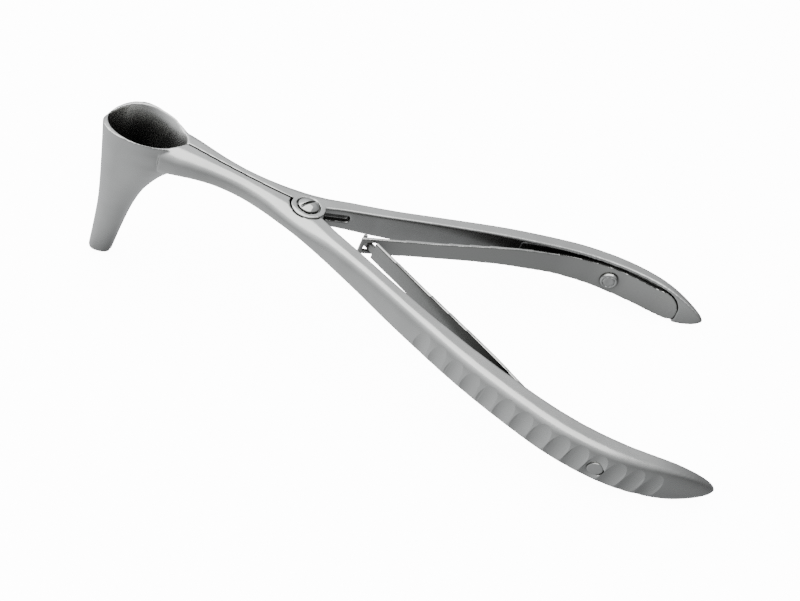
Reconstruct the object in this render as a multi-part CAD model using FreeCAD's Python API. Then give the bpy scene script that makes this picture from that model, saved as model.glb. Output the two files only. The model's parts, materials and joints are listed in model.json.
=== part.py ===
import FreeCAD, Part
import math
import os

# Bivalve nasal speculum: two forged arms joined by a screwed lap joint, opened by squeezing the
# handles, and closed again by two leaf springs that hook together between the handles.
#
# Everything is drawn in the instrument's own frame and stood up at the end:
#   X runs from the pivot towards the handles, Y towards the right arm, Z up along the pivot axis.
#   Z = 0 is the flat top of the joint.  The right arm has y > 0 and the left arm mirrors it.
# All sizes are in millimetres.

V = FreeCAD.Vector

# Funnel: the two valves close on each other along y = 0.
VALVE_DEPTH = 40.5
VALVE_SEAM_GAP = 0.06
RIM_WALL = 1.35
TIP_WALL = 0.8
# Level sections of the closed funnel, by height: front edge, back edge and half width.
FUNNEL_FRONT = [
    (-VALVE_DEPTH, -50.9), (-31.0, -50.1), (-23.0, -49.65), (-12.0, -49.8), (4.0, -50.4),
]
FUNNEL_BACK = [
    (-VALVE_DEPTH, -45.0), (-31.0, -43.1), (-23.0, -41.2), (-17.0, -39.0), (-12.0, -36.2),
    (-8.0, -33.0), (-5.5, -29.5), (-3.5, -26.0), (-1.5, -24.0), (4.0, -23.5),
]
FUNNEL_HALF = [
    (-VALVE_DEPTH, 2.5), (-31.0, 3.3), (-23.0, 4.2), (-17.0, 5.1), (-12.0, 5.9),
    (-8.0, 6.5), (-4.0, 7.15), (0.0, 7.85), (4.0, 8.6),
]
# How the back of each section runs out: half width left there, and its angle off the X axis.
TAIL_HALF = [
    (-VALVE_DEPTH, 0.4), (-17.0, 0.6), (-10.0, 0.8), (-6.5, 1.3), (-3.0, 1.9), (0.0, 1.2),
]
TAIL_ANGLE = [
    (-20.0, 90.0), (-14.0, 84.0), (-9.0, 66.0), (-6.5, 42.0), (-4.0, 14.0), (-1.0, 0.0),
]
# The hollow's back edge, which leaves the shank solid behind it.
HOLLOW_BACK = [
    (-VALVE_DEPTH, -45.7), (-31.0, -44.2), (-23.0, -42.4), (-17.0, -40.5), (-12.0, -38.2),
    (-8.0, -35.8), (-4.0, -33.3), (0.0, -31.5), (4.0, -30.2),
]
FUNNEL_STATIONS = [
    4.0, 1.0, -2.0, -5.0, -8.2, -11.7, -15.7, -20.2, -25.0, -30.0, -35.2, -VALVE_DEPTH,
]
HOLLOW_OVERSHOOT = 3.0
# The rim seen from the side, continued by the top of the shank.
RIM_LINE = [
    (-53.0, -4.9), (-50.3, -1.2), (-49.2, 0.35), (-47.0, 1.3), (-43.5, 1.6),
    (-39.0, 1.45), (-34.5, 1.25), (-30.0, 0.9), (-26.0, 0.3), (-20.0, -0.7),
]

# Arm outlines.  Plan: inner and outer edge.  Side: top and bottom edge.
INNER_LINE = [
    (-36.0, -0.4), (-10.0, -0.4), (-2.0, -0.3), (2.0, 0.85), (4.5, 2.15), (8.0, 4.05),
    (16.0, 7.8), (25.0, 12.2), (35.0, 16.8), (45.0, 21.0), (53.0, 23.9), (62.0, 26.8),
    (70.0, 28.5), (78.0, 29.1), (85.0, 28.7), (92.0, 27.6), (97.0, 26.7), (99.4, 26.45),
    (100.4, 26.6),
]
OUTER_LINE = [
    (-36.0, 6.4), (-30.0, 5.8), (-26.0, 4.9), (-21.0, 3.95), (-15.0, 3.6), (-9.0, 4.3),
    (-4.0, 5.6), (0.5, 6.9), (5.0, 8.3), (10.0, 10.1), (19.0, 13.9), (26.0, 17.3),
    (33.0, 20.7), (43.0, 25.4), (51.0, 28.6), (59.0, 31.3), (66.0, 33.2), (75.0, 34.2),
    (82.0, 33.8), (88.0, 32.5), (93.0, 31.0), (96.5, 29.7), (98.7, 28.7), (99.8, 28.0),
    (100.4, 27.3),
]
TOP_LINE = [
    (-36.0, 1.8), (-29.0, 1.45), (-22.0, 0.85), (-15.0, 0.4), (-8.0, 0.1), (0.0, 0.0),
    (12.0, 0.05), (26.0, 0.2), (43.0, 0.6), (59.0, 1.1), (70.0, 1.55), (79.0, 1.95),
    (86.0, 2.1), (90.0, 1.85), (94.0, 1.15), (97.0, 0.3), (98.7, -0.35), (99.8, -0.95),
    (100.4, -1.5),
]
BOTTOM_LINE = [
    (-36.0, -6.2), (-29.0, -4.6), (-22.0, -3.9), (-15.0, -4.1), (-8.0, -4.6), (0.0, -5.0),
    (8.0, -5.8), (16.0, -6.5), (25.0, -7.1), (40.0, -7.5), (60.0, -7.65), (75.0, -7.7),
    (86.0, -7.6), (92.0, -7.0), (96.0, -5.6), (98.4, -4.2), (99.7, -3.1), (100.4, -2.2),
]
# Width of the flat strip on top of the arm, before the outer side rounds over.
STRIP_LINE = [
    (-36.0, 3.4), (-28.0, 2.5), (-21.0, 1.9), (-15.0, 1.8), (-4.0, 2.6), (5.0, 3.1),
    (26.0, 3.2), (60.0, 3.3), (88.0, 2.6), (95.5, 1.6), (100.4, 0.6),
]
ARM_STATIONS = [
    -34.0, -28.0, -22.0, -15.0, -9.0, -4.0, 0.5, 5.0, 10.0, 17.0, 26.0, 36.0, 46.0,
    56.0, 65.0, 74.0, 82.0, 88.0, 92.5, 95.5, 98.0, 99.6, 100.4,
]
# Ground edge round the flat inner face, no more than its share of a thin end.
EDGE_ROUND = 0.35
EDGE_SHARE = 0.15
# Height of the flank's crest and width of the flat bottom, as shares of the section.
OUTER_CREST_SHARE = 0.48
FOOT_SHARE = 0.55
STRIP_SHARE = 0.6
QUARTER_ROUND = 0.5523
SHOULDER_STRIPS = 5
# The flank's knee, as shares of the way in and down from the crest to the foot.
KNEE_IN = 0.22
KNEE_DOWN = 0.76

# Lap joint.
BOSS_RADIUS = 4.1
JOINT_DEPTH = 5.0
LAP_GAP = 0.06
BOSS_GAP = 0.07
BRIDGE_HALF = 2.6
# Relief behind the boss, which starts as a share of the boss radius from the pivot.
CROTCH_POCKET_START = 0.5
CROTCH_POCKET_REACH = 9.5
CROTCH_POCKET_DEPTH = 1.4
CROTCH_POCKET_HEIGHT = 1.9
CROTCH_POCKET_RISE = 0.9

# Pivot screw.
SCREW_SHANK_RADIUS = 1.5
SCREW_FIT = 0.04
SCREW_HEAD_RADIUS = 2.45
SCREW_HEAD_SEAT = 0.7
SCREW_DOME = 0.75
SCREW_HEAD_EDGE = 0.25
SCREW_SLOT_WIDTH = 0.55
SCREW_SLOT_DEPTH = 0.6
SCREW_SLOT_ANGLE = 30.0

# Grip flutes across the lower half of each handle's outer face.
FLUTE_COUNT = 14
FLUTE_FIRST_X = 34.8
FLUTE_PITCH = 4.0
FLUTE_RADIUS = 2.7
# How deep the first is cut at a drop below the handle's top, what each one after it adds,
# and their lean inwards going down.
FLUTE_DEPTH = 0.5
FLUTE_GROWTH = 0.025
FLUTE_TOP_DROP = 1.8
FLUTE_TILT = 5.0
# The last few grow shallower towards the end.
FLUTE_FADE_FROM = 9
FLUTE_FADE = 0.3
# Flat left round the outer end of the rivet.
RIVET_FLAT_DEPTH = 0.55

# Leaf springs.
LEAF_THICKNESS = 0.8
LEAF_SEAT_GAP = 0.15
SEAT_RECESS = 1.0
# Extra depth ahead of the rivet, which lets the leaf flex towards the handle.
SEAT_RELIEF = 0.3
SEAT_RELIEF_START = 1.0
SEAT_RELIEF_RUN = 5.0
SEAT_START_X = 50.0
SEAT_FULL_X = 62.0
SEAT_ROOF_DROP = 0.9
SEAT_END_X = 94.4
SEAT_END_Z = -4.5
SEAT_STATIONS = 12
# Length and fullness of the round at the end of the seat and of the leaf.
END_TURN = 6.5
END_FULLNESS = 0.5
LEAF_EDGE_GAP = 0.35
LEAF_BOTTOM_INSET = 0.5
LEAF_LOW_TURN = 4.5
LEAF_LOW_RISE = 0.3
CROSSING_X = 16.2
LEAF_STRAIGHT_X = 57.0
LEAF_STRAIGHT_Y = 24.0
LEAF_TIP_TOP = -1.0
LEAF_TIP_BOTTOM = -5.6
# Leaf's edges by X: rises of the top and bottom over the tip's, then over those of the seat.
LEAF_FREE_EDGES = [(30.0, 0.2, 0.25), (46.0, 0.75, 0.05)]
LEAF_SEAT_EDGES = [(58.0, 0.1, 0.5), (68.0, 0.0, 0.0), (78.0, 0.0, 0.0)]
# Where the bend passes, by X past the straight part and Y over it or under the seat's line.
LEAF_BEND_START = (5.0, 2.45)
LEAF_BEND_END = (10.5, 1.25)
LEAF_SETTLE = (4.0, 0.33)
LEAF_SLACK = 0.02
HOOK_REACH = 1.55
HOOK_END = 0.9
TONGUE_WIDTH = 2.0
HOOK_WIDTH = 3.4
EYE_GAP = 0.2

# Rivets.
RIVET_X = 75.4
RIVET_Z = -3.7
RIVET_SHANK_RADIUS = 1.3
RIVET_HEAD_RADIUS = 2.35
RIVET_HEAD_HEIGHT = 0.75
RIVET_HEAD_EDGE = 0.3
RIVET_HEAD_FLAT = 1.5
RIVET_TAIL_RADIUS = 1.65
RIVET_TAIL_SEAT = 0.8
RIVET_HOLE_GAP = 0.03
RIVET_LEAF_GAP = 0.12
RIVET_HEAD_GAP = 0.2

# Overshoot of the cutting tools past what they cut, and a width past both handles.
CLEAR = 6.0
HANDLE_REACH = max(y for x, y in OUTER_LINE) + 2 * CLEAR
LEAN_STEPS = 150


def along(line, x):
    """Height of a smooth line through (x, value) points, level past both ends."""
    if x <= line[0][0]:
        return line[0][1]
    if x >= line[-1][0]:
        return line[-1][1]
    k = max(i for i in range(len(line) - 1) if line[i][0] <= x)

    def slope(i):
        a = line[max(i - 1, 0)]
        b = line[min(i + 1, len(line) - 1)]
        return (b[1] - a[1]) / (b[0] - a[0])

    x0, y0 = line[k]
    x1, y1 = line[k + 1]
    span = x1 - x0
    t = (x - x0) / span
    start = (2 * t ** 3 - 3 * t ** 2 + 1) * y0 + (t ** 3 - 2 * t ** 2 + t) * span * slope(k)
    end = (3 * t ** 2 - 2 * t ** 3) * y1 + (t ** 3 - t ** 2) * span * slope(k + 1)
    return start + end


def line_edge(a, b):
    return Part.makeLine(a, b)


def curve_edge(*poles):
    curve = Part.BezierCurve()
    curve.setPoles(list(poles))
    return curve.toShape()


def spline_edge(points):
    curve = Part.BSplineCurve()
    curve.interpolate([V(*p) for p in points])
    return curve.toShape()


def round_points(a, bend, b, steps):
    """Points along the quarter round from a to b, for a shoulder ground in narrow strips."""
    near = a + (bend - a) * QUARTER_ROUND
    far = b + (bend - b) * QUARTER_ROUND
    points = []
    for i in range(steps + 1):
        t = i / steps
        u = 1 - t
        points.append(a * u ** 3 + near * (3 * u * u * t) + far * (3 * u * t * t) + b * t ** 3)
    return points


def chain(*points):
    """Straight edges from point to point."""
    return [Part.makeLine(a, b) for a, b in zip(points, points[1:])]


def box(x0, x1, y0, y1, z0, z1):
    return Part.makeBox(x1 - x0, y1 - y0, z1 - z0, V(x0, y0, z0))


def mirrored(shape):
    return shape.mirror(V(0, 0, 0), V(0, 1, 0))


def prism_y(edges, y0, y1):
    """Outline drawn in the plane y = 0, made solid from y0 to y1."""
    face = Part.Face(Part.Wire(edges))
    face.translate(V(0, y0, 0))
    return face.extrude(V(0, y1 - y0, 0))


def arm_section(x):
    """One upright section of the right arm: flat inside and top, rounded shoulder, flat flank."""
    inner = along(INNER_LINE, x)
    outer = along(OUTER_LINE, x)
    top = along(TOP_LINE, x)
    bottom = along(BOTTOM_LINE, x)
    thick = outer - inner
    edge = min(EDGE_ROUND, EDGE_SHARE * (top - bottom), EDGE_SHARE * thick)
    strip = min(along(STRIP_LINE, x), STRIP_SHARE * thick)
    crest = top - OUTER_CREST_SHARE * (top - bottom)
    foot = inner + FOOT_SHARE * thick

    def at(y, z):
        return V(x, y, z)

    shoulder = at(inner + strip, top)
    knee = at(outer - KNEE_IN * (outer - foot), crest - KNEE_DOWN * (crest - bottom))
    start = at(inner, bottom + edge)
    strips = round_points(shoulder, at(outer, top), at(outer, crest), SHOULDER_STRIPS)
    edges = chain(
        start, at(inner, top - edge), at(inner + edge, top), *strips, knee,
        at(foot, bottom), at(inner + edge, bottom), start,
    )
    return Part.Wire(edges)


def funnel_section(z):
    """One level section of the right half of the funnel, from its front edge into the shank."""
    front = along(FUNNEL_FRONT, z)
    back = along(FUNNEL_BACK, z)
    half = along(FUNNEL_HALF, z)
    tail_half = along(TAIL_HALF, z)
    turn = math.radians(along(TAIL_ANGLE, z))
    middle = front + min(0.95 * half, 0.5 * (back - front))
    a = V(front, 0, z)
    b = V(middle, half, z)
    c = V(back, tail_half, z)
    reach = 0.45 * (back - middle) * math.cos(turn) + 0.6 * (half - tail_half) * math.sin(turn)
    bow = V(front + 0.10 * half, 0.50 * half, z)
    lead = c + V(-math.cos(turn), math.sin(turn), 0) * reach
    edges = [
        curve_edge(a, bow, b - V(0.50 * (middle - front), 0, 0), b),
        curve_edge(b, b + V(0.52 * (back - middle), 0, 0), lead, c),
        line_edge(c, V(back, 0, z)),
        line_edge(V(back, 0, z), a),
    ]
    return Part.Wire(edges)


def funnel_wall(z):
    """Wall thickness, from the rim down to the tip."""
    share = min(max(-z / VALVE_DEPTH, 0.0), 1.0)
    return RIM_WALL + (TIP_WALL - RIM_WALL) * share


def hollow_section(z):
    """One level section of the funnel's inside: a round arc that closes at front and back."""
    wall = funnel_wall(z)
    front = along(FUNNEL_FRONT, z) + wall * 0.75
    back = along(HOLLOW_BACK, z)
    chord = back - front
    half = along(FUNNEL_HALF, z) - wall
    a = V(front, 0, z)
    b = V(front + 0.46 * chord, half, z)
    c = V(back, 0, z)
    edges = [
        curve_edge(a, V(front + 0.06 * chord, 0.56 * half, z), b - V(0.25 * chord, 0, 0), b),
        curve_edge(b, b + V(0.27 * chord, 0, 0), V(back - 0.06 * chord, 0.50 * half, z), c),
        line_edge(c, a),
    ]
    return Part.Wire(edges)


def rim_cut():
    """Everything above the rim, over the funnel."""
    top = 3 * CLEAR
    rim = [(x, 0, z) for x, z in RIM_LINE]
    first = V(*rim[0])
    last = V(*rim[-1])
    edges = [
        spline_edge(rim),
        line_edge(last, V(last.x, 0, top)),
        line_edge(V(last.x, 0, top), V(first.x, 0, top)),
        line_edge(V(first.x, 0, top), first),
    ]
    return prism_y(edges, -3 * CLEAR, 3 * CLEAR)


def valve():
    """Right half of the funnel, solid, trimmed to the rim."""
    solid = Part.makeLoft([funnel_section(z) for z in FUNNEL_STATIONS], True, True)
    return solid.cut(rim_cut())


def funnel_hollow():
    """Inside of the closed funnel, run out past its rim and its tip."""
    top = FUNNEL_STATIONS[0] + HOLLOW_OVERSHOOT
    levels = [top] + FUNNEL_STATIONS + [-VALVE_DEPTH - HOLLOW_OVERSHOOT]
    half = Part.makeLoft([hollow_section(z) for z in levels], True, True)
    return half.fuse(mirrored(half))


def arm_blank():
    """Right arm before the joint is cut: valve, shank and handle as one forging."""
    bar = Part.makeLoft([arm_section(x) for x in ARM_STATIONS], True, True)
    body = bar.fuse(valve()).cut(funnel_hollow())
    seam = box(-60, 0.5, -3 * CLEAR, VALVE_SEAM_GAP / 2, -60, 20)
    return body.cut(seam)


def handle_slope(x):
    """Angle of the outer edge in plan, in degrees."""
    step = 0.5
    rise = along(OUTER_LINE, x + step) - along(OUTER_LINE, x - step)
    return math.degrees(math.atan2(rise, 2 * step))


def grip_flutes():
    """Round upright cuts, which run out on the shoulder in a tongue."""
    cuts = []
    for i in range(FLUTE_COUNT):
        x = FLUTE_FIRST_X + i * FLUTE_PITCH
        late = max(0.0, (i - FLUTE_FADE_FROM) / (FLUTE_COUNT - FLUTE_FADE_FROM))
        tool = Part.makeCylinder(FLUTE_RADIUS, 4 * CLEAR, V(0, FLUTE_RADIUS, -3 * CLEAR))
        tool.rotate(V(0, 0, 0), V(1, 0, 0), -FLUTE_TILT)
        depth = FLUTE_DEPTH + FLUTE_GROWTH * i - FLUTE_FADE * late
        tool.translate(V(0, -depth, -FLUTE_TOP_DROP))
        tool.rotate(V(0, 0, 0), V(0, 0, 1), handle_slope(x))
        tool.translate(V(x, along(OUTER_LINE, x), along(TOP_LINE, x)))
        cuts.append(tool)
    return cuts


def seat_line(x):
    """Inner face of the handle under the spring."""
    share = min(max((x - SEAT_START_X) / (SEAT_FULL_X - SEAT_START_X), 0.0), 1.0)
    return along(INNER_LINE, x) + SEAT_RECESS * share


def seat_floor(x):
    """Bottom of the recess: deeper ahead of the rivet, where the leaf needs room to flex."""
    share = min(max((RIVET_X - SEAT_RELIEF_START - x) / SEAT_RELIEF_RUN, 0.0), 1.0)
    return seat_line(x) + SEAT_RELIEF * share


def leaf_top(x):
    return along(TOP_LINE, x) - SEAT_ROOF_DROP - LEAF_EDGE_GAP


def leaf_bottom(x):
    return along(BOTTOM_LINE, x) + LEAF_BOTTOM_INSET


def end_round(level, end):
    """Round from where an edge is level to where it stands upright."""
    share = END_FULLNESS
    near = V(level.x + (end.x - level.x) * share, 0, level.z)
    far = V(end.x, 0, end.z + (level.z - end.z) * share)
    return curve_edge(level, near, far, end)


def spring_seat():
    """Recess that the spring lies in: roofed along the handle's top edge, open below."""
    run = SEAT_END_X + 1.0 - SEAT_START_X
    xs = [SEAT_START_X + i * run / SEAT_STATIONS for i in range(SEAT_STATIONS + 1)]
    floor = [(x, seat_floor(x), 0) for x in xs]
    first = V(*floor[0])
    last = V(*floor[-1])
    plan = Part.Face(Part.Wire([
        spline_edge(floor),
        line_edge(last, V(last.x, 0, 0)),
        line_edge(V(last.x, 0, 0), V(first.x, 0, 0)),
        line_edge(V(first.x, 0, 0), first),
    ]))
    plan.translate(V(0, 0, -3 * CLEAR))
    plan = plan.extrude(V(0, 0, 5 * CLEAR))
    turn_x = SEAT_END_X - END_TURN
    low = -2 * CLEAR
    half = SEAT_STATIONS // 2
    roof_run = turn_x - SEAT_START_X + 1.0
    roof_xs = [turn_x - roof_run * i / half for i in range(half, -1, -1)]
    roof = [(x, 0, along(TOP_LINE, x) - SEAT_ROOF_DROP) for x in roof_xs]
    end = V(SEAT_END_X, 0, SEAT_END_Z)
    start = V(*roof[0])
    side = [
        spline_edge(roof),
        end_round(V(*roof[-1]), end),
        line_edge(end, V(end.x, 0, low)),
        line_edge(V(end.x, 0, low), V(start.x, 0, low)),
        line_edge(V(start.x, 0, low), start),
    ]
    return plan.common(prism_y(side, 0, HANDLE_REACH))


def leaf_centre(x):
    """Middle of the spring leaf in plan where it lies along its seat."""
    return seat_line(x) - LEAF_SEAT_GAP - LEAF_THICKNESS / 2


def leaf_slope():
    return math.atan2(LEAF_STRAIGHT_Y, LEAF_STRAIGHT_X - CROSSING_X)


def leaf_point(distance):
    """Point on the straight part of the right leaf, measured from where the leaves cross."""
    a = leaf_slope()
    return V(CROSSING_X + distance * math.cos(a), distance * math.sin(a), 0)


def leaf_blank():
    """Right leaf at full height: straight from its tip, bent on to the seat at the rivet."""
    seat_y = leaf_centre(RIVET_X)
    settle_x, settle_drop = LEAF_SETTLE
    points = [
        V(LEAF_STRAIGHT_X, LEAF_STRAIGHT_Y, 0),
        V(LEAF_STRAIGHT_X + LEAF_BEND_START[0], LEAF_STRAIGHT_Y + LEAF_BEND_START[1], 0),
        V(LEAF_STRAIGHT_X + LEAF_BEND_END[0], seat_y - LEAF_BEND_END[1], 0),
        V(RIVET_X - settle_x, seat_y - settle_drop, 0),
        V(RIVET_X, seat_y, 0),
    ]
    for x in (RIVET_X + settle_x, SEAT_END_X - END_TURN, SEAT_END_X - LEAF_EDGE_GAP):
        points.append(V(x, leaf_centre(x) - LEAF_SLACK, 0))
    a = leaf_slope()
    curve = Part.BSplineCurve()
    first_tangent = V(math.cos(a), math.sin(a), 0)
    last_tangent = (points[-1] - points[-2]).normalize()
    curve.interpolate(Points=points, InitialTangent=first_tangent, FinalTangent=last_tangent)
    tip = leaf_point(-HOOK_REACH - HOOK_END)
    path = Part.Wire([line_edge(tip, points[0]), curve.toShape()])
    across = V(-math.sin(a), math.cos(a), 0) * (LEAF_THICKNESS / 2)
    low = V(0, 0, -2 * CLEAR)
    high = V(0, 0, CLEAR)
    profile = Part.makePolygon([
        tip - across + low, tip + across + low, tip + across + high, tip - across + high,
        tip - across + low,
    ])
    return path.makePipeShell([profile], True, False)


def leaf_outline():
    """Leaf seen from the side: narrow at its tip, as tall as the seat on the handle."""
    tip_x = leaf_point(-HOOK_REACH - HOOK_END).x - 1.0
    turn_x = SEAT_END_X - END_TURN
    low_x = SEAT_END_X - LEAF_LOW_TURN
    end = V(SEAT_END_X - LEAF_EDGE_GAP, 0, SEAT_END_Z)
    top = [(tip_x, 0, LEAF_TIP_TOP)]
    bottom = [(tip_x, 0, LEAF_TIP_BOTTOM)]
    for x, top_rise, bottom_rise in LEAF_FREE_EDGES:
        top.append((x, 0, LEAF_TIP_TOP + top_rise))
        bottom.append((x, 0, LEAF_TIP_BOTTOM + bottom_rise))
    for x, top_rise, bottom_rise in LEAF_SEAT_EDGES:
        top.append((x, 0, leaf_top(x) + top_rise))
        bottom.append((x, 0, leaf_bottom(x) + bottom_rise))
    top.append((turn_x, 0, leaf_top(turn_x)))
    bottom.append((low_x, 0, leaf_bottom(low_x) + LEAF_LOW_RISE))
    edges = [
        spline_edge(top),
        end_round(V(*top[-1]), end),
        end_round(V(*bottom[-1]), end),
        spline_edge(bottom),
        line_edge(V(*bottom[0]), V(*top[0])),
    ]
    return prism_y(edges, -3 * CLEAR, HANDLE_REACH)


def leaf_tool(d0, d1, z0, z1):
    """Block across the straight part of the right leaf, between two distances and heights."""
    block = box(d0, d1, -CLEAR / 2, CLEAR / 2, z0, z1)
    block.rotate(V(0, 0, 0), V(0, 0, 1), math.degrees(leaf_slope()))
    block.translate(V(CROSSING_X, 0, 0))
    return block


def rivet_drill(radius, y0=0.0):
    """Drill along the rivet's axis, from y0 out past the handle."""
    return Part.makeCylinder(radius, HANDLE_REACH - y0, V(RIVET_X, y0, RIVET_Z), V(0, 1, 0))


def leaf():
    hole = rivet_drill(RIVET_SHANK_RADIUS + RIVET_LEAF_GAP)
    return leaf_blank().common(leaf_outline()).cut(hole)


def tip_middle():
    return 0.5 * (LEAF_TIP_TOP + LEAF_TIP_BOTTOM)


def right_spring():
    """Leaf with a slotted eye at its tip, which the other leaf's tongue passes through."""
    half = TONGUE_WIDTH / 2 + EYE_GAP
    slot = leaf_tool(-HOOK_REACH, HOOK_REACH, tip_middle() - half, tip_middle() + half)
    return leaf().cut(slot)


def left_spring():
    """Leaf with a narrow tongue at its tip, ended by a cross head."""
    end = HOOK_REACH + HOOK_END + CLEAR
    middle = tip_middle()
    cuts = []
    for side in (-1, 1):
        near = middle + side * TONGUE_WIDTH / 2
        far = middle + side * CLEAR
        cuts.append(leaf_tool(-HOOK_REACH, HOOK_REACH, min(near, far), max(near, far)))
        near = middle + side * HOOK_WIDTH / 2
        cuts.append(leaf_tool(-end, -HOOK_REACH, min(near, far), max(near, far)))
    return mirrored(leaf().cut(cuts))


def rivet_tail_face():
    """Where the rivet's outer end comes flush with the handle."""
    return along(OUTER_LINE, RIVET_X) - RIVET_FLAT_DEPTH


def rivet_cuts():
    """Hole for the rivet through the right handle, with a counterbore for its outer end."""
    hole = rivet_drill(RIVET_SHANK_RADIUS + RIVET_HOLE_GAP)
    seat = rivet_drill(RIVET_TAIL_RADIUS + RIVET_HOLE_GAP, rivet_tail_face() - RIVET_TAIL_SEAT)
    return [hole, seat]


def rivet():
    """Right rivet: bevelled inner head over the leaf, shank, and an outer end flush in the handle."""
    leaf_face = leaf_centre(RIVET_X) - LEAF_THICKNESS / 2
    head = leaf_face - RIVET_HEAD_GAP
    brim = head - RIVET_HEAD_EDGE
    crown = head - RIVET_HEAD_HEIGHT
    tail = rivet_tail_face()
    seat = tail - RIVET_TAIL_SEAT + RIVET_HOLE_GAP

    def at(r, y):
        return V(r, y, 0)

    edges = chain(
        at(0, crown), at(RIVET_HEAD_FLAT, crown), at(RIVET_HEAD_RADIUS, brim),
        at(RIVET_HEAD_RADIUS, head), at(RIVET_SHANK_RADIUS, head), at(RIVET_SHANK_RADIUS, seat),
        at(RIVET_TAIL_RADIUS, seat), at(RIVET_TAIL_RADIUS, tail), at(0, tail), at(0, crown),
    )
    body = Part.Face(Part.Wire(edges)).revolve(V(0, 0, 0), V(0, 1, 0), 360)
    solid = Part.makeSolid(body) if body.ShapeType == "Shell" else body
    solid.translate(V(RIVET_X, 0, RIVET_Z))
    return solid


def lap_plane():
    return -JOINT_DEPTH / 2


def crown_edge(pole, rim):
    """Arc of a ball from its pole, on the turning axis, out to its rim."""
    rise = rim.z - pole.z
    ball = (rim.x ** 2 + rise ** 2) / (2 * rise)
    half = 0.5 * math.asin(rim.x / abs(ball))
    middle = V(abs(ball) * math.sin(half), 0, pole.z + ball * (1 - math.cos(half)))
    return Part.Arc(pole, middle, rim).toShape()


def disc(radius, z0, z1):
    return Part.makeCylinder(radius, z1 - z0, V(0, 0, z0))


def screw_seat():
    """Hole through the upper boss, with the counterbore that the screw head sits in."""
    hole = disc(SCREW_SHANK_RADIUS + SCREW_FIT, -2 * CLEAR, CLEAR)
    head = disc(SCREW_HEAD_RADIUS + SCREW_FIT, -SCREW_HEAD_SEAT, CLEAR)
    return [hole, head]


def pivot_screw():
    """Domed slotted head and a plain shank, flush under the joint."""
    seat = -SCREW_HEAD_SEAT + LAP_GAP / 2

    def at(r, z):
        return V(r, 0, z)

    crown = SCREW_HEAD_EDGE + SCREW_DOME
    edges = chain(
        at(0, crown), at(0, -JOINT_DEPTH), at(SCREW_SHANK_RADIUS, -JOINT_DEPTH),
        at(SCREW_SHANK_RADIUS, seat), at(SCREW_HEAD_RADIUS, seat), at(SCREW_HEAD_RADIUS, SCREW_HEAD_EDGE),
    )
    edges.append(crown_edge(at(0, crown), at(SCREW_HEAD_RADIUS, SCREW_HEAD_EDGE)))
    body = Part.Face(Part.Wire(edges)).revolve(V(0, 0, 0), V(0, 0, 1), 360)
    solid = Part.makeSolid(body) if body.ShapeType == "Shell" else body
    half = SCREW_SLOT_WIDTH / 2
    slot = box(-CLEAR, CLEAR, -half, half, crown - SCREW_SLOT_DEPTH, crown + 1)
    slot.rotate(V(0, 0, 0), V(0, 0, 1), SCREW_SLOT_ANGLE)
    return solid.cut(slot)


def crotch_pocket():
    """Relief in the right arm's inner face, under the top half, just behind the boss."""
    x0 = BOSS_RADIUS * CROTCH_POCKET_START
    y0 = along(INNER_LINE, x0)
    run = CROTCH_POCKET_REACH - x0
    slope = math.atan2(along(INNER_LINE, CROTCH_POCKET_REACH) - y0, run)
    radius = CROTCH_POCKET_HEIGHT / 2
    end_x = run / math.cos(slope) - radius
    top = lap_plane() + CROTCH_POCKET_RISE
    block = box(0, end_x, -CLEAR, CROTCH_POCKET_DEPTH, top - 2 * radius, top)
    centre = V(end_x, -CLEAR, top - radius)
    end = Part.makeCylinder(radius, CLEAR + CROTCH_POCKET_DEPTH, centre, V(0, 1, 0))
    tool = block.fuse(end)
    tool.rotate(V(0, 0, 0), V(0, 0, 1), math.degrees(slope))
    tool.translate(V(x0, y0, 0))
    return tool


def joint_body(forging):
    """Both forgings bridged at the pivot, which the bosses are cut out of."""
    bridge = box(-BOSS_RADIUS, BOSS_RADIUS, -BRIDGE_HALF, BRIDGE_HALF, -JOINT_DEPTH, 0)
    zone = box(-2 * CLEAR, 2 * CLEAR, -2 * CLEAR, 2 * CLEAR, -2 * CLEAR, CLEAR)
    return forging.fuse([mirrored(forging), bridge]).common(zone)


def finished_handle():
    """Right arm with its grip flutes, spring seat and rivet hole."""
    return arm_blank().cut(grip_flutes() + [spring_seat()] + rivet_cuts())


def right_arm(forging):
    """Arm with the upper boss: the other arm's boss turns in the recess below it."""
    lap = lap_plane()
    recess = disc(BOSS_RADIUS + BOSS_GAP, -3 * CLEAR, lap + LAP_GAP / 2)
    boss = disc(BOSS_RADIUS, lap + LAP_GAP / 2, CLEAR).common(joint_body(forging))
    return forging.cut([recess, crotch_pocket()]).fuse(boss).cut(screw_seat()).removeSplitter()


def left_arm(forging):
    """Arm with the lower boss, which holds the screw's thread."""
    lap = lap_plane()
    recess = disc(BOSS_RADIUS + BOSS_GAP, lap - LAP_GAP / 2, CLEAR)
    boss = disc(BOSS_RADIUS, -2 * CLEAR, lap - LAP_GAP / 2).common(joint_body(forging))
    hole = disc(SCREW_SHANK_RADIUS + SCREW_FIT / 2, -3 * CLEAR, CLEAR)
    return mirrored(forging).cut(recess).fuse(boss).cut(hole).removeSplitter()


def support_lean():
    """Angle at which the valve tips and both handle ends touch one level surface."""
    tip_x = FUNNEL_BACK[0][1]
    start = BOTTOM_LINE[-6][0]
    run = BOTTOM_LINE[-1][0] - start
    xs = [start + run * i / LEAN_STEPS for i in range(LEAN_STEPS)]
    return min(math.atan2(along(BOTTOM_LINE, x) + VALVE_DEPTH, x - tip_x) for x in xs)


def stand_up(parts):
    """Turns the instrument on to its tips and handles, with the origin under its middle."""
    lean = math.degrees(support_lean())
    for shape in parts.values():
        shape.rotate(V(0, 0, 0), V(0, 1, 0), lean)
    whole = Part.makeCompound(list(parts.values()))
    b = whole.optimalBoundingBox(False, False)
    shift = V(-(b.XMin + b.XMax) / 2, -(b.YMin + b.YMax) / 2, -b.ZMin)
    for shape in parts.values():
        shape.translate(shift)
    return lean, shift


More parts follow.
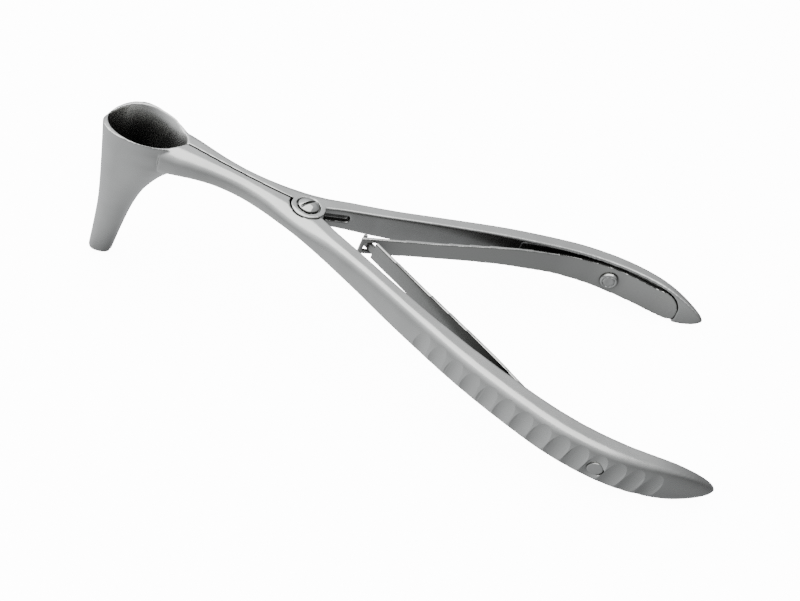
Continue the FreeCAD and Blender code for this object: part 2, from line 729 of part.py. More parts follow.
def make_parts():
    forging = finished_handle()
    right_rivet = rivet()
    return {
        "left_arm": left_arm(forging),
        "right_arm": right_arm(forging),
        "pivot_screw": pivot_screw(),
        "left_spring": left_spring(),
        "right_spring": right_spring(),
        "left_rivet": mirrored(right_rivet),
        "right_rivet": right_rivet,
    }


def main():
    parts = make_parts()
    lean, shift = stand_up(parts)
    os.makedirs("parts", exist_ok=True)
    for name, shape in parts.items():
        shape.exportStep("parts/" + name + ".step")
        print(name, shape.ShapeType, len(shape.Solids), shape.isValid(), round(shape.Volume, 2))
    print("lean", round(lean, 3), "shift", shift)


main()
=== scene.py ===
import json
import math

import bmesh
import bpy
from bpy.props import FloatProperty, FloatVectorProperty, IntProperty, PointerProperty
from mathutils import Matrix, Vector


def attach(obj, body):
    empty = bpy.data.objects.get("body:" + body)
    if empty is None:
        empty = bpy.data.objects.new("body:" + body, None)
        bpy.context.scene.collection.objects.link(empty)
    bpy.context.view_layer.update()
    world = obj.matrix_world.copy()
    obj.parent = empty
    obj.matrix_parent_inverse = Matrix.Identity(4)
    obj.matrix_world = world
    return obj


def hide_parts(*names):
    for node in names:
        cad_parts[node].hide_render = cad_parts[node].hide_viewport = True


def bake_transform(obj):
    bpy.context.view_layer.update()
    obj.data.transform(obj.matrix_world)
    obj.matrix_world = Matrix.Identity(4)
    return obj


# Bivalve speculum: two forged arms that cross at a screw, with two leaf springs hooked together
# between their handles.  Every piece is modelled in the instrument's own frame, in millimetres,
# and then stood up in the part's frame, in metres.

bl_info = {
    "name": "Bivalve speculum",
    "version": (1, 0, 0),
    "blender": (4, 5, 0),
    "location": "View3D > Sidebar > Speculum",
    "description": "Builds the bivalve speculum: arms, leaf springs, screw, rivets and stage",
    "category": "Object",
}

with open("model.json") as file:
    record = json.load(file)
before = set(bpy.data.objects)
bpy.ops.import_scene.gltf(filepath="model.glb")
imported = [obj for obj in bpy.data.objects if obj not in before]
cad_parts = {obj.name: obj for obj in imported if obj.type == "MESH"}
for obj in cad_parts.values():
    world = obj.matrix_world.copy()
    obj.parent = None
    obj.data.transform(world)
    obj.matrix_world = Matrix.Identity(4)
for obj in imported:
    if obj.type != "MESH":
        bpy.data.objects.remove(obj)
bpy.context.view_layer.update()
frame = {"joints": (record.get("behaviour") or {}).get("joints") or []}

MM = 0.001
SQUEEZE = next(j for j in frame["joints"] if j["name"] == "handle_squeeze")

# Funnel, closed, by height: front edge, back edge and half width.  All outlines are in
# millimetres in the instrument's frame: X from the pivot to the handles, Y to the right arm,
# Z up the pivot, with z = 0 on the flat top of the joint.
VALVE_DEPTH = 40.5
VALVE_SEAM_GAP = 0.06
# Half the width of the line that the shanks' parting shows, and where it starts.
SEAM_SHADOW = 0.24
SEAM_START_X = -30.0
SEAM_TUCK = 0.3
SEAM_END_X = 0.5
TIP_WALL = 0.8
# Flare inside the rim, and the depth it starts at.
RIM_FLARE = 0.75
FLARE_DEPTH = 3.5
FUNNEL_FRONT = [(-40.5, -50.9), (-31.0, -50.1), (-23.0, -49.65), (-12.0, -49.8), (4.0, -50.4)]
FUNNEL_BACK = [
    (-40.5, -45.0), (-31.0, -43.1), (-23.0, -41.2), (-17.0, -39.0), (-12.0, -36.2),
    (-8.0, -33.0), (-5.5, -29.5), (-3.5, -26.0), (-1.5, -24.0), (4.0, -23.5),
]
FUNNEL_HALF = [
    (-40.5, 2.5), (-31.0, 3.3), (-23.0, 4.2), (-17.0, 5.1), (-12.0, 5.9),
    (-8.0, 6.5), (-4.0, 7.15), (0.0, 7.85), (4.0, 8.6),
]
TAIL_HALF = [(-40.5, 0.4), (-17.0, 0.6), (-10.0, 0.8), (-6.5, 1.3), (-3.0, 1.9), (0.0, 1.2)]
TAIL_ANGLE = [(-20.0, 90.0), (-14.0, 84.0), (-9.0, 66.0), (-6.5, 42.0), (-4.0, 14.0), (-1.0, 0.0)]
HOLLOW_BACK = [
    (-40.5, -45.7), (-31.0, -44.2), (-23.0, -42.4), (-17.0, -40.5), (-12.0, -38.2),
    (-8.0, -35.8), (-4.0, -33.3), (0.0, -31.5), (4.0, -30.2),
]
RIM_LINE = [
    (-53.0, -4.9), (-50.3, -1.2), (-49.2, 0.35), (-47.0, 1.3), (-43.5, 1.6),
    (-39.0, 1.45), (-34.5, 1.25), (-30.0, 0.9), (-26.0, 0.3), (-20.0, -0.7),
]

# Arm outlines: plan (inner, outer) and side (top, bottom), and the flat strip on top.
INNER_LINE = [
    (-36.0, -0.4), (-10.0, -0.4), (-2.0, -0.3), (2.0, 0.85), (4.5, 2.15), (8.0, 4.05),
    (16.0, 7.8), (25.0, 12.2), (35.0, 16.8), (45.0, 21.0), (53.0, 23.9), (62.0, 26.8),
    (70.0, 28.5), (78.0, 29.1), (85.0, 28.7), (92.0, 27.6), (97.0, 26.7), (99.4, 26.45),
    (100.4, 26.6),
]
OUTER_LINE = [
    (-36.0, 6.4), (-30.0, 5.8), (-26.0, 4.9), (-21.0, 3.95), (-15.0, 3.6), (-9.0, 4.3),
    (-4.0, 5.6), (0.5, 6.9), (5.0, 8.3), (10.0, 10.1), (19.0, 13.9), (26.0, 17.3),
    (33.0, 20.7), (43.0, 25.4), (51.0, 28.6), (59.0, 31.3), (66.0, 33.2), (75.0, 34.2),
    (82.0, 33.8), (88.0, 32.5), (93.0, 31.0), (96.5, 29.7), (98.7, 28.7), (99.8, 28.0),
    (100.4, 27.3),
]
TOP_LINE = [
    (-36.0, 1.8), (-29.0, 1.45), (-22.0, 0.85), (-15.0, 0.4), (-8.0, 0.1), (0.0, 0.0),
    (12.0, 0.05), (26.0, 0.2), (43.0, 0.6), (59.0, 1.1), (70.0, 1.55), (79.0, 1.95),
    (86.0, 2.1), (90.0, 1.85), (94.0, 1.15), (97.0, 0.3), (98.7, -0.35), (99.8, -0.95),
    (100.4, -1.5),
]
BOTTOM_LINE = [
    (-36.0, -6.2), (-29.0, -4.6), (-22.0, -3.9), (-15.0, -4.1), (-8.0, -4.6), (0.0, -5.0),
    (8.0, -5.8), (16.0, -6.5), (25.0, -7.1), (40.0, -7.5), (60.0, -7.65), (75.0, -7.7),
    (86.0, -7.6), (92.0, -7.0), (96.0, -5.6), (98.4, -4.2), (99.7, -3.1), (100.4, -2.2),
]
STRIP_LINE = [
    (-36.0, 3.4), (-28.0, 2.5), (-21.0, 1.9), (-15.0, 1.8), (-4.0, 2.6), (5.0, 3.1),
    (26.0, 3.2), (60.0, 3.3), (88.0, 2.6), (95.5, 1.6), (100.4, 0.6),
]
# Height of the flank's crest, as a share of the section down from its top.
CREST_LINE = [
    (-36.0, 0.72), (-10.0, 0.72), (20.0, 0.68), (34.0, 0.6), (50.0, 0.5), (75.0, 0.44),
    (100.4, 0.5),
]
EDGE_ROUND = 0.35
FOOT_SHARE = 0.55
QUARTER_ROUND = 0.5523
LOWER_ROUND = 0.66
# Height that the funnel's blank runs up to before its rim is cut, and how far its core runs past.
FUNNEL_TOP = 4.0
CORE_PAST = 3.0
BAR_START = -34.0
BAR_END = 100.4
BAR_STATIONS = 200
FUNNEL_LEVELS = 90

# Lap joint and screw.
BOSS_RADIUS = 4.1
JOINT_DEPTH = 5.0
LAP_GAP = 0.06
BOSS_GAP = 0.07
BOSS_LINE = 0.3
BRIDGE_HALF = 2.6
SCREW_SHANK_RADIUS = 1.5
SCREW_FIT = 0.04
SCREW_HEAD_RADIUS = 2.45
SCREW_RING = 0.3
SCREW_HEAD_SEAT = 0.7
SCREW_HEAD_EDGE = 0.25
SCREW_DOME = 0.75
SCREW_BRIM = 0.12
SCREW_SLOT_WIDTH = 0.7
SCREW_SLOT_DEPTH = 0.8
SCREW_SLOT_ANGLE = 55.0
POCKET_START_X = 2.05
POCKET_REACH = 9.5
POCKET_DEPTH = 1.4
POCKET_HEIGHT = 1.9
POCKET_TOP = -1.6

# Grip flutes.
FLUTE_COUNT = 14
FLUTE_FIRST_X = 34.8
FLUTE_PITCH = 4.0
FLUTE_RADIUS = 2.7
FLUTE_DEPTH = 0.5
FLUTE_GROWTH = 0.025
FLUTE_TOP_DROP = 1.8
FLUTE_TILT = 5.0
FLUTE_FADE_FROM = 9
FLUTE_FADE = 0.3

# Spring leaves, their seats and rivets.
LEAF_THICKNESS = 0.8
LEAF_SEAT_GAP = 0.15
SEAT_RECESS = 1.0
SEAT_RELIEF = 0.3
SEAT_START_X = 50.0
SEAT_FULL_X = 62.0
SEAT_ROOF_DROP = 0.9
SEAT_END_X = 94.4
SEAT_TURN_X = 87.9
SEAT_END_Z = -4.5
LEAF_EDGE_GAP = 0.35
LEAF_SHADOW = 0.5
LEAF_END_GAP = 0.05
LEAF_END_Z = -4.6
LEAF_BOTTOM_INSET = 0.5
CROSSING_X = 16.2
LEAF_STRAIGHT_X = 57.0
LEAF_STRAIGHT_Y = 24.0
LEAF_TIP_TOP = -1.0
LEAF_TIP_BOTTOM = -5.6
HOOK_REACH = 1.55
HOOK_END = 0.9
TONGUE_WIDTH = 2.0
HOOK_WIDTH = 3.4
EYE_GAP = 0.2
RIVET_X = 75.4
RIVET_Z = -3.7
RIVET_SHANK_RADIUS = 1.3
RIVET_HEAD_RADIUS = 2.35
RIVET_HEAD_GAP = 0.2
RIVET_TAIL_RADIUS = 1.65
RIVET_TAIL_SEAT = 0.8
RIVET_FLAT_DEPTH = 0.55
RIVET_HOLE_GAP = 0.03
RIVET_CUT_START = 10.0
RIVET_BRIM = 0.2
RIVET_RISE = 0.55
# Inner head from its middle out, as (radius, height from the crown): a ring stands between two grooves.
RIVET_FACE = [
    (0, 0.1), (0.9, 0.02), (1.25, 0.02), (1.4, 0.1), (1.5, 0.3), (1.6, 0.1), (1.75, 0),
    (1.95, 0.06), (2.2, 0.25),
]

# How far tools run past what they cut: on the joint and handles, and on the funnel.
CLEAR = 6.0
FAR = 60.0
MIRROR = Matrix.Diagonal((1, -1, 1, 1))
# Turns what stands along Z to lie along Y.
ACROSS = Matrix.Rotation(math.radians(-90), 4, "X")

# Finishes, in metres: how far off a facing wall still casts painted shade into the steel's colour,
# the share of the sky above a spot that leaves it fully shaded or open, the grain's and the
# cloud's scales, and the depth of the grain.
PAINTED_SHADE_REACH = 0.014
PAINTED_SHADE_SKY = (0.3, 0.85)
GRAIN_SCALE = (60, 2600, 2600)
CLOUD_SCALE = 140.0
GRAIN_DEPTH = 0.00002
# The middle range of both noises.
NOISE_RANGE = (0.3, 0.7)

# Studio: brightness of its walls by height, from straight down to straight up, and from left to
# right, and its two softboxes, as place, aim and size in metres.
WALL_LEVELS = [(0.0, 0.75), (0.42, 0.65), (0.52, 0.45), (0.66, 1.0), (0.78, 1.4), (1.0, 1.2)]
SIDE_LEVELS = (1.7, 0.35)
KEY_SOFTBOX = ((-0.1, -0.2, 0.8), (-0.1, -0.2, 0), (1.3, 1.4))
SIDE_SOFTBOX = ((-0.8, 0.1, 0.35), (0, 0, 0.02), (0.5, 0.4))
FLOOR_SPECKLE = 30.0
FLOOR_DRIFT = 0.985

# Camera of the photograph, in the instrument's frame: its place, the point of the joint's
# level that it is aimed at, its roll, and its lens.
CAMERA_PLACE = (18.842, -138.742, 107.301)
CAMERA_AIM = (20.332, -21.231, 0.0)
CAMERA_ROLL = 25.254
CAMERA_FOCAL_PIXELS = 775.3
CAMERA_SHIFT = (0.04396, 0.00077)
IMAGE_WIDTH = 800.0
SENSOR = 36.0
CLIP = (0.01, 20.0)


# ---- outlines ----

def along(line, x):
    """Height of a smooth line through (x, value) points, level past both ends."""
    if x <= line[0][0]:
        return line[0][1]
    if x >= line[-1][0]:
        return line[-1][1]
    k = max(i for i in range(len(line) - 1) if line[i][0] <= x)

    def slope(i):
        a = line[max(i - 1, 0)]
        b = line[min(i + 1, len(line) - 1)]
        return (b[1] - a[1]) / (b[0] - a[0])

    x0, y0 = line[k]
    x1, y1 = line[k + 1]
    span = x1 - x0
    t = (x - x0) / span
    start = (2 * t ** 3 - 3 * t ** 2 + 1) * y0 + (t ** 3 - 2 * t ** 2 + t) * span * slope(k)
    end = (3 * t ** 2 - 2 * t ** 3) * y1 + (t ** 3 - t ** 2) * span * slope(k + 1)
    return start + end


def straight(a, b, steps):
    """Points from a towards b, without b."""
    return [a.lerp(b, i / steps) for i in range(steps)]


def curve(a, b, c, d, steps):
    """Points along a cubic from a towards d, without d."""
    points = []
    for i in range(steps):
        t = i / steps
        u = 1 - t
        points.append(a * u ** 3 + b * (3 * u * u * t) + c * (3 * u * t * t) + d * t ** 3)
    return points


def corner(a, bend, b, steps, fullness=QUARTER_ROUND):
    """Quarter round from a towards b, inside the corner at bend."""
    return curve(a, a + (bend - a) * fullness, b + (bend - b) * fullness, b, steps)


def arm_ring(x):
    """Upright section of the right arm."""
    inner = along(INNER_LINE, x)
    outer = along(OUTER_LINE, x)
    top = along(TOP_LINE, x)
    bottom = along(BOTTOM_LINE, x)
    thick = outer - inner
    edge = min(EDGE_ROUND, 0.15 * (top - bottom), 0.15 * thick)
    strip = min(along(STRIP_LINE, x), 0.6 * thick)
    crest = top - along(CREST_LINE, x) * (top - bottom)
    foot = inner + FOOT_SHARE * thick

    def at(y, z):
        return Vector((x, y, z))

    ring = straight(at(inner, bottom + edge), at(inner, top - edge), 8)
    ring += corner(at(inner, top - edge), at(inner, top), at(inner + edge, top), 3)
    ring += straight(at(inner + edge, top), at(inner + strip, top), 6)
    ring += corner(at(inner + strip, top), at(outer, top), at(outer, crest), 14)
    ring += corner(at(outer, crest), at(outer, bottom), at(foot, bottom), 14, LOWER_ROUND)
    ring += straight(at(foot, bottom), at(inner + edge, bottom), 5)
    ring += corner(at(inner + edge, bottom), at(inner, bottom), at(inner, bottom + edge), 3)
    return ring


def funnel_ring(z):
    """Level section of the right half of the funnel, run into the shank at its back."""
    front = along(FUNNEL_FRONT, z)
    back = along(FUNNEL_BACK, z)
    half = along(FUNNEL_HALF, z)
    tail = along(TAIL_HALF, z)
    turn = math.radians(along(TAIL_ANGLE, z))
    middle = front + min(0.95 * half, 0.5 * (back - front))

    def at(x, y):
        return Vector((x, y, z))

    a = at(front, 0)
    b = at(middle, half)
    c = at(back, tail)
    reach = 0.45 * (back - middle) * math.cos(turn) + 0.6 * (half - tail) * math.sin(turn)
    lead = c + Vector((-math.cos(turn), math.sin(turn), 0)) * reach
    ring = curve(a, at(front + 0.10 * half, 0.5 * half), at(0.5 * (middle + front), half), b, 24)
    ring += curve(b, b + Vector((0.52 * (back - middle), 0, 0)), lead, c, 30)
    ring += straight(c, at(back, 0), 4)
    ring += straight(at(back, 0), a, 10)
    return ring


def hollow_ring(z, rim_wall):
    """Level section of the inside of the closed funnel."""
    share = min(max(-z / VALVE_DEPTH, 0.0), 1.0)
    wall = rim_wall + (TIP_WALL - rim_wall) * share
    flare = RIM_FLARE * min(max((z + FLARE_DEPTH) / (FLARE_DEPTH + 1.5), 0.0), 1.2) ** 2
    front = along(FUNNEL_FRONT, z) + wall * 0.75
    back = along(HOLLOW_BACK, z) + flare
    chord = back - front
    half = along(FUNNEL_HALF, z) - wall + flare

    def at(x, y):
        return Vector((x, y, z))

    a = at(front, 0)
    b = at(front + 0.46 * chord, half)
    c = at(back, 0)
    side = curve(a, at(front + 0.06 * chord, 0.56 * half), b - Vector((0.25 * chord, 0, 0)), b, 22)
    side += curve(b, b + Vector((0.27 * chord, 0, 0)), at(back - 0.06 * chord, 0.5 * half), c, 22)
    other = [Vector((p.x, -p.y, p.z)) for p in [c] + side[:0:-1]]
    return side + other


def handle_slope(x):
    """Angle of the outer edge in plan."""
    step = 0.5
    return math.atan2(along(OUTER_LINE, x + step) - along(OUTER_LINE, x - step), 2 * step)


def seat_line(x):
    share = min(max((x - SEAT_START_X) / (SEAT_FULL_X - SEAT_START_X), 0.0), 1.0)
    return along(INNER_LINE, x) + SEAT_RECESS * share


def seat_floor(x):
    share = min(max((RIVET_X - 1.0 - x) / 5.0, 0.0), 1.0)
    return seat_line(x) + SEAT_RELIEF * share


def leaf_centre(x):
    return seat_line(x) - LEAF_SEAT_GAP - LEAF_THICKNESS / 2


def leaf_slope():
    return math.atan2(LEAF_STRAIGHT_Y, LEAF_STRAIGHT_X - CROSSING_X)


def rounded_end(x, turn, end, level, low):
    """Height of an edge that is level up to turn and comes down in a quarter round at end."""
    share = min(max((x - turn) / (end - turn), 0.0), 1.0)
    return low + (level - low) * math.sqrt(max(1 - share ** 2.4, 0.0))


# ---- meshes ----

def new_piece(name, bm):
    """Object of that name from a bmesh, in millimetres in the instrument's frame."""
    mesh = bpy.data.meshes.new(name)
    bmesh.ops.recalc_face_normals(bm, faces=bm.faces)
    bm.to_mesh(mesh)
    bm.free()
    piece = bpy.data.objects.new(name, mesh)
    bpy.context.scene.collection.objects.link(piece)
    return piece


def loft(name, rings):
    """Closed skin over rings of equal length, capped at both ends."""
    bm = bmesh.new()
    rows = [[bm.verts.new(p) for p in ring] for ring in rings]
    count = len(rows[0])
    for low, high in zip(rows, rows[1:]):
        for i in range(count):
            j = (i + 1) % count
            bm.faces.new((low[i], low[j], high[j], high[i]))
    bm.faces.new(rows[0][::-1])
    bm.faces.new(rows[-1])
    return new_piece(name, bm)


def lathe(name, profile, steps=96):
    """Solid of revolution about Z from (radius, height) points that start and end on the axis."""
    bm = bmesh.new()
    points = [Vector((r, 0, z)) for r, z in profile]
    verts = [bm.verts.new(p) for p in points]
    edges = [bm.edges.new(pair) for pair in zip(verts, verts[1:])]
    bmesh.ops.spin(bm, geom=verts + edges, axis=(0, 0, 1), cent=(0, 0, 0), angle=math.tau,
                   steps=steps, use_duplicate=False)
    bmesh.ops.remove_doubles(bm, verts=bm.verts, dist=1e-4)
    return new_piece(name, bm)


def block(name, x0, x1, y0, y1, z0, z1):
    bm = bmesh.new()
    bmesh.ops.create_cube(bm, size=1.0)
    size = Vector((x1 - x0, y1 - y0, z1 - z0))
    middle = Vector((x1 + x0, y1 + y0, z1 + z0)) / 2
    matrix = Matrix.Translation(middle) @ Matrix.Diagonal(size).to_4x4()
    bmesh.ops.transform(bm, verts=bm.verts, matrix=matrix)
    return new_piece(name, bm)


def drum(name, radius, z0, z1, steps=96):
    bm = bmesh.new()
    bmesh.ops.create_cone(bm, cap_ends=True, segments=steps, radius1=radius, radius2=radius,
                          depth=z1 - z0)
    bmesh.ops.translate(bm, verts=bm.verts, vec=(0, 0, (z0 + z1) / 2))
    return new_piece(name, bm)


def prism(name, outline, y0, y1):
    """Outline of (x, z) points made solid from y0 to y1."""
    bm = bmesh.new()
    near = [bm.verts.new((x, y0, z)) for x, z in outline]
    far = [bm.verts.new((x, y1, z)) for x, z in outline]
    bm.faces.new(near)
    bm.faces.new(far[::-1])
    for i in range(len(outline)):
        j = (i + 1) % len(outline)
        bm.faces.new((near[j], near[i], far[i], far[j]))
    return new_piece(name, bm)


def placed(piece, matrix):
    """Moves a piece's own mesh."""
    piece.data.transform(matrix)
    if matrix.determinant() < 0:
        piece.data.flip_normals()
    return piece


def twin(piece, name, matrix=None):
    other = bpy.data.objects.new(name, piece.data.copy())
    bpy.context.scene.collection.objects.link(other)
    return placed(other, matrix) if matrix else other


def settled(piece):
    """Bakes a piece's modifiers into its mesh."""
    graph = bpy.context.evaluated_depsgraph_get()
    mesh = bpy.data.meshes.new_from_object(piece.evaluated_get(graph))
    piece.modifiers.clear()
    old = piece.data
    piece.data = mesh
    bpy.data.meshes.remove(old)
    mesh.name = piece.name
    return piece


def carved(piece, steps):
    """Applies (operation, tool) steps in order and throws the tools away."""
    for operation, tool in steps:
        cut = piece.modifiers.new(operation.lower(), "BOOLEAN")
        cut.operation = operation
        cut.solver = "MANIFOLD"
        cut.object = tool
        tool.hide_render = True
    bpy.context.view_layer.update()
    settled(piece)
    for _, tool in steps:
        bpy.data.objects.remove(tool)
    return piece


def ground(piece, voxel, passes):
    """Even skin with its edges broken, as grinding and polishing leave them."""
    skin = piece.modifiers.new("skin", "REMESH")
    skin.mode = "VOXEL"
    skin.voxel_size = voxel
    soft = piece.modifiers.new("soft", "SMOOTH")
    soft.factor = 0.5
    soft.iterations = passes
    return smoothed(settled(piece))


def smoothed(piece):
    """Smooth shading that keeps the corners of later cuts."""
    piece.data.shade_smooth()
    piece.data.set_sharp_from_angle(angle=math.radians(40))
    return piece


def stand_matrix():
    """From the instrument's frame in millimetres to the part's frame in metres."""
    up = -Vector(SQUEEZE["axis"]).normalized()
    across = Vector((0, 1, 0))
    forward = across.cross(up)
    pivot = Vector(SQUEEZE["pos_m"])
    turn = Matrix((forward, across, up)).transposed().to_4x4()
    top = pivot + up * (JOINT_DEPTH / 2 * MM)
    return Matrix.Translation(top) @ turn @ Matrix.Scale(MM, 4)


def dress(piece, material, slot, body, *nodes):
    """Stands a finished piece up, gives it its finish and puts it in place of its solids."""
    placed(piece, stand_matrix())
    piece.data.materials.clear()
    piece.data.materials.append(material)
    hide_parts(*nodes)
    if body:
        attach(piece, body)
    return piece


# ---- finishes ----

def steel(name, tint, deep_tint, roughness, spread, grain, painted_shade_share):
    """Stainless steel with a fine ground grain along X, cloudy polish, faint colour drift and
    painted shade: ambient occlusion darkens the colour in recesses and creases, down to that share of
    the steel's colour."""
    material = bpy.data.materials.new(name)
    material.use_nodes = True
    nodes = material.node_tree.nodes
    links = material.node_tree.links
    shader = nodes["Principled BSDF"]
    shader.inputs["Metallic"].default_value = 1.0
    where = nodes.new("ShaderNodeTexCoord")

    stretch = nodes.new("ShaderNodeMapping")
    stretch.inputs["Scale"].default_value = GRAIN_SCALE
    links.new(where.outputs["Object"], stretch.inputs["Vector"])
    lines = nodes.new("ShaderNodeTexNoise")
    lines.inputs["Scale"].default_value = 1.0
    lines.inputs["Detail"].default_value = 3.0
    lines.inputs["Roughness"].default_value = 0.6
    links.new(stretch.outputs["Vector"], lines.inputs["Vector"])

    cloud = nodes.new("ShaderNodeTexNoise")
    cloud.inputs["Scale"].default_value = CLOUD_SCALE
    cloud.inputs["Detail"].default_value = 4.0
    cloud.inputs["Roughness"].default_value = 0.55
    links.new(where.outputs["Object"], cloud.inputs["Vector"])

    blend = nodes.new("ShaderNodeMath")
    blend.operation = "MULTIPLY_ADD"
    blend.inputs[1].default_value = 0.5
    links.new(lines.outputs["Fac"], blend.inputs[0])
    half = nodes.new("ShaderNodeMath")
    half.operation = "MULTIPLY"
    half.inputs[1].default_value = 0.5
    links.new(cloud.outputs["Fac"], half.inputs[0])
    links.new(half.outputs["Value"], blend.inputs[2])

    polish = nodes.new("ShaderNodeMapRange")
    polish.inputs["From Min"].default_value = NOISE_RANGE[0]
    polish.inputs["From Max"].default_value = NOISE_RANGE[1]
    polish.inputs["To Min"].default_value = roughness - spread
    polish.inputs["To Max"].default_value = roughness + spread
    links.new(blend.outputs["Value"], polish.inputs["Value"])
    links.new(polish.outputs["Result"], shader.inputs["Roughness"])

    drift = nodes.new("ShaderNodeValToRGB")
    drift.color_ramp.elements[0].position = NOISE_RANGE[0]
    drift.color_ramp.elements[0].color = (*deep_tint, 1)
    drift.color_ramp.elements[1].position = NOISE_RANGE[1]
    drift.color_ramp.elements[1].color = (*tint, 1)
    links.new(cloud.outputs["Fac"], drift.inputs["Fac"])

    # Painted shade: ambient occlusion darkens the base colour in recesses, creases and the funnel's
    # inside.
    recess = nodes.new("ShaderNodeAmbientOcclusion")
    recess.samples = 6
    recess.inputs["Distance"].default_value = PAINTED_SHADE_REACH
    painted_shade = nodes.new("ShaderNodeMapRange")
    painted_shade.inputs["From Min"].default_value = PAINTED_SHADE_SKY[0]
    painted_shade.inputs["From Max"].default_value = PAINTED_SHADE_SKY[1]
    painted_shade.inputs["To Min"].default_value = painted_shade_share
    links.new(recess.outputs["AO"], painted_shade.inputs["Value"])
    shade = nodes.new("ShaderNodeVectorMath")
    shade.operation = "SCALE"
    links.new(drift.outputs["Color"], shade.inputs[0])
    links.new(painted_shade.outputs["Result"], shade.inputs["Scale"])
    links.new(shade.outputs["Vector"], shader.inputs["Base Color"])

    relief = nodes.new("ShaderNodeBump")
    relief.inputs["Strength"].default_value = grain
    relief.inputs["Distance"].default_value = GRAIN_DEPTH
    links.new(lines.outputs["Fac"], relief.inputs["Height"])
    links.new(relief.outputs["Normal"], shader.inputs["Normal"])
    return material


def finish_of(kind):
    """The named finish, made once from the panel's values."""
    name = kind + "_ground"
    made = bpy.data.materials.get(name)
    if made:
        return made
    look = bpy.context.scene.speculum_finish
    if kind == "satin_steel":
        return steel(name, look.steel_tint, look.steel_deep, look.satin, 0.04, 0.10, look.recess)
    if kind == "spring_steel":
        return steel(name, look.spring_tint, look.steel_deep, look.spring, 0.05, 0.15, look.recess)
    return steel(name, look.steel_tint, look.steel_deep, look.polish, 0.03, 0.04, look.recess)


# ---- arms ----

def rim_block():
    """Everything above the rim of the funnel."""
    steps = 60
    x0 = RIM_LINE[0][0]
    x1 = RIM_LINE[-1][0]
    xs = [x0 + (x1 - x0) * i / steps for i in range(steps + 1)]
    outline = [(x, along(RIM_LINE, x)) for x in xs] + [(x1, 3 * CLEAR), (x0, 3 * CLEAR)]
    return prism("rim", outline, -3 * CLEAR, 3 * CLEAR)


def flute(i, depth):
    """One round cut down the flank of the right handle, deepened by depth."""
    x = FLUTE_FIRST_X + i * FLUTE_PITCH
    late = max(0.0, (i - FLUTE_FADE_FROM) / (FLUTE_COUNT - FLUTE_FADE_FROM))
    tool = drum("flute", FLUTE_RADIUS, -3 * CLEAR, CLEAR, 72)
    depth += FLUTE_DEPTH + FLUTE_GROWTH * i - FLUTE_FADE * late
    turn = Matrix.Rotation(math.radians(-FLUTE_TILT), 4, "X") @ Matrix.Translation((0, FLUTE_RADIUS, 0))
    shift = Matrix.Translation((0, -depth, -FLUTE_TOP_DROP))
    spot = Matrix.Translation((x, along(OUTER_LINE, x), along(TOP_LINE, x)))
    return placed(tool, spot @ Matrix.Rotation(handle_slope(x), 4, "Z") @ shift @ turn)


def seat_block():
    """Recess for the spring, roofed by the handle's top edge."""
    rings = []
    steps = 90
    for i in range(steps + 1):
        x = SEAT_START_X + (SEAT_END_X - SEAT_START_X) * i / steps
        level = along(TOP_LINE, min(x, SEAT_TURN_X)) - SEAT_ROOF_DROP
        roof = rounded_end(x, SEAT_TURN_X, SEAT_END_X, level, SEAT_END_Z)
        floor = seat_floor(x)
        rings.append([
            Vector((x, 5.0, -3 * CLEAR)), Vector((x, floor, -3 * CLEAR)),
            Vector((x, floor, roof)), Vector((x, 5.0, roof)),
        ])
    return loft("seat", rings)


def rivet_drum(radius, y0, y1):
    tool = drum("rivet_hole", radius, y0, y1, 48)
    return placed(tool, Matrix.Translation((RIVET_X, 0, RIVET_Z)) @ ACROSS)


def rivet_tail_face():
    return along(OUTER_LINE, RIVET_X) - RIVET_FLAT_DEPTH


def flutes(first, depth):
    """Every second flute as one tool, so that none of its cuts touch."""
    tools = [flute(i, depth) for i in range(first, FLUTE_COUNT, 2)]
    bm = bmesh.new()
    for tool in tools:
        bm.from_mesh(tool.data)
        bpy.data.objects.remove(tool)
    return new_piece("flutes", bm)


def forging(name, rim_wall):
    """Right arm before its lap joint is cut: half funnel, shank and handle."""
    span = BAR_END - BAR_START
    bar = loft(name, [arm_ring(BAR_START + span * i / BAR_STATIONS) for i in range(BAR_STATIONS + 1)])
    rise = FUNNEL_TOP + VALVE_DEPTH
    levels = [FUNNEL_TOP - rise * i / FUNNEL_LEVELS for i in range(FUNNEL_LEVELS + 1)]
    valve = carved(loft("valve", [funnel_ring(z) for z in levels]), [("DIFFERENCE", rim_block())])
    inside = [FUNNEL_TOP + CORE_PAST] + levels + [-VALVE_DEPTH - CORE_PAST]
    core = loft("hollow", [hollow_ring(z, rim_wall) for z in inside])
    tail = rivet_tail_face()
    steps = [
        ("UNION", valve),
        ("DIFFERENCE", core),
        ("DIFFERENCE", block("seam", -FAR, SEAM_END_X, -3 * CLEAR, VALVE_SEAM_GAP / 2, -FAR, 20)),
        ("DIFFERENCE", seat_block()),
        ("DIFFERENCE", rivet_drum(RIVET_SHANK_RADIUS + RIVET_HOLE_GAP, RIVET_CUT_START, FAR)),
        ("DIFFERENCE", rivet_drum(RIVET_TAIL_RADIUS + RIVET_HOLE_GAP, tail - RIVET_TAIL_SEAT, FAR)),
    ]
    return carved(bar, steps)


def joint_boss(blank, z0, z1):
    """Round boss cut from both arms bridged at the pivot, so it follows their outsides."""
    boss = drum("boss", BOSS_RADIUS, z0, z1)
    body = twin(blank, "joint_body")
    bridge = block("bridge", -BOSS_RADIUS, BOSS_RADIUS, -BRIDGE_HALF, BRIDGE_HALF, -JOINT_DEPTH, 0)
    carved(body, [("UNION", twin(blank, "other", MIRROR)), ("UNION", bridge)])
    return carved(boss, [("INTERSECT", body)])


